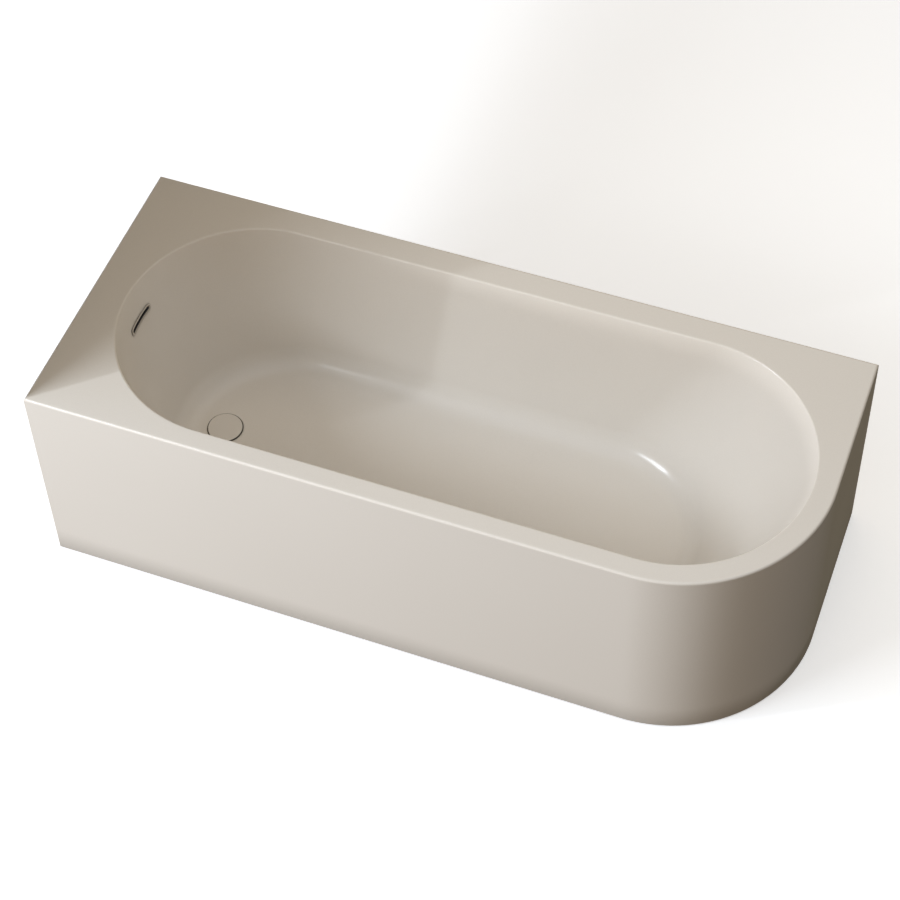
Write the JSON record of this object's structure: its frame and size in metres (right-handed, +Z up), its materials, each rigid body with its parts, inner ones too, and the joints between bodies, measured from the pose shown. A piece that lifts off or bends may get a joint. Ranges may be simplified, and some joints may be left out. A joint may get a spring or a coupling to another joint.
{
  "type": "bathtub",
  "caption": "Corner bathtub with a stadium-shaped basin in a flat rim, a smooth apron rounded at one end, slot overflow, press-to-close waste and levelling feet.",
  "frame": {"origin": "on the floor, at the middle of the bath's box", "axes": "+Z up; +X along the bath from the drain end to the rounded end; +Y from the room to the back wall"},
  "size_m": [1.7, 0.7, 0.554],
  "materials": {
    "acrylic": "warm greige sanitary acrylic, glossy",
    "drain_cover": "greige cover and flange in the bath's colour, satin gloss",
    "board": "bare particle board",
    "zinc_steel": "zinc-plated steel",
    "bright_steel": "bright plated steel",
    "black_plastic": "black moulded plastic",
    "grey_plastic": "grey moulded plastic",
    "white_plastic": "white moulded plastic",
    "rubber": "black rubber"
  },
  "bodies": {
    "bath": {"basin_shell": "acrylic", "apron_panel": "acrylic", "base_board": "board", "frame_rail_front": "zinc_steel", "frame_rail_back": "zinc_steel", "cross_bar_left": "zinc_steel", "cross_bar_middle": "zinc_steel", "cross_bar_right": "zinc_steel", "board_screw_1": "bright_steel", "board_screw_2": "bright_steel", "board_screw_3": "bright_steel", "board_screw_4": "bright_steel", "apron_bracket_1": "zinc_steel", "apron_bracket_2": "zinc_steel", "apron_bracket_3": "zinc_steel", "apron_bracket_4": "zinc_steel", "wall_clip_1": "zinc_steel", "wall_clip_2": "zinc_steel", "wall_clip_3": "zinc_steel", "foot_lock_nut_1": "bright_steel", "foot_lock_nut_2": "bright_steel", "foot_lock_nut_3": "bright_steel", "foot_lock_nut_4": "bright_steel", "foot_lock_nut_5": "bright_steel", "foot_lock_nut_6": "bright_steel", "waste_flange": "drain_cover", "plug_cartridge": "white_plastic", "plug_spring": "bright_steel", "waste_gasket": "rubber", "waste_body": "white_plastic", "trap_inlet_nut": "grey_plastic", "trap_body": "white_plastic", "trap_plug": "grey_plastic", "trap_outlet_nut": "grey_plastic", "outlet_pipe": "grey_plastic", "overflow_trim": "acrylic", "overflow_gasket": "rubber", "overflow_body": "white_plastic", "overflow_hose": "grey_plastic", "hose_nut_top": "black_plastic", "hose_nut_bottom": "black_plastic"},
    "plug": {"plug_cap": "drain_cover", "plug_seal": "rubber", "plug_stem": "bright_steel"},
    "foot_1": {"foot_pad_1": "black_plastic"},
    "spindle_1": {"foot_spindle_1": "bright_steel"},
    "foot_2": {"foot_pad_2": "black_plastic"},
    "spindle_2": {"foot_spindle_2": "bright_steel"},
    "foot_3": {"foot_pad_3": "black_plastic"},
    "spindle_3": {"foot_spindle_3": "bright_steel"},
    "foot_4": {"foot_pad_4": "black_plastic"},
    "spindle_4": {"foot_spindle_4": "bright_steel"},
    "foot_5": {"foot_pad_5": "black_plastic"},
    "spindle_5": {"foot_spindle_5": "bright_steel"},
    "foot_6": {"foot_pad_6": "black_plastic"},
    "spindle_6": {"foot_spindle_6": "bright_steel"}
  },
  "joints": [
    {"name": "plug_slide", "type": "slide", "parent": "bath", "child": "plug", "axis": [0, 0, 1], "range_m": [0, 0.009], "deforming": ["plug_spring"]},
    {"name": "foot_1_level", "type": "slide", "parent": "bath", "child": "foot_1", "axis": [0, 0, 1], "range_m": [-0.015, 0.008]},
    {"name": "spindle_1_turn", "type": "hinge", "parent": "foot_1", "child": "spindle_1", "pos_m": [-0.4, -0.2475, 0.07], "axis": [0, 0, 1], "range_deg": [-3090, 1650]},
    {"name": "foot_2_level", "type": "slide", "parent": "bath", "child": "foot_2", "axis": [0, 0, 1], "range_m": [-0.015, 0.008]},
    {"name": "spindle_2_turn", "type": "hinge", "parent": "foot_2", "child": "spindle_2", "pos_m": [-0.4, 0.2325, 0.07], "axis": [0, 0, 1], "range_deg": [-3090, 1650]},
    {"name": "foot_3_level", "type": "slide", "parent": "bath", "child": "foot_3", "axis": [0, 0, 1], "range_m": [-0.015, 0.008]},
    {"name": "spindle_3_turn", "type": "hinge", "parent": "foot_3", "child": "spindle_3", "pos_m": [0.04, -0.2475, 0.07], "axis": [0, 0, 1], "range_deg": [-3090, 1650]},
    {"name": "foot_4_level", "type": "slide", "parent": "bath", "child": "foot_4", "axis": [0, 0, 1], "range_m": [-0.015, 0.008]},
    {"name": "spindle_4_turn", "type": "hinge", "parent": "foot_4", "child": "spindle_4", "pos_m": [0.04, 0.2325, 0.07], "axis": [0, 0, 1], "range_deg": [-3090, 1650]},
    {"name": "foot_5_level", "type": "slide", "parent": "bath", "child": "foot_5", "axis": [0, 0, 1], "range_m": [-0.015, 0.008]},
    {"name": "spindle_5_turn", "type": "hinge", "parent": "foot_5", "child": "spindle_5", "pos_m": [0.48, -0.2475, 0.07], "axis": [0, 0, 1], "range_deg": [-3090, 1650]},
    {"name": "foot_6_level", "type": "slide", "parent": "bath", "child": "foot_6", "axis": [0, 0, 1], "range_m": [-0.015, 0.008]},
    {"name": "spindle_6_turn", "type": "hinge", "parent": "foot_6", "child": "spindle_6", "pos_m": [0.48, 0.2325, 0.07], "axis": [0, 0, 1], "range_deg": [-3090, 1650]}
  ],
  "couplings": [
    {"joint": "spindle_1_turn", "follows": "foot_1_level", "rad_per_m": 3590.4},
    {"joint": "spindle_2_turn", "follows": "foot_2_level", "rad_per_m": 3590.4},
    {"joint": "spindle_3_turn", "follows": "foot_3_level", "rad_per_m": 3590.4},
    {"joint": "spindle_4_turn", "follows": "foot_4_level", "rad_per_m": 3590.4},
    {"joint": "spindle_5_turn", "follows": "foot_5_level", "rad_per_m": 3590.4},
    {"joint": "spindle_6_turn", "follows": "foot_6_level", "rad_per_m": 3590.4}
  ]
}
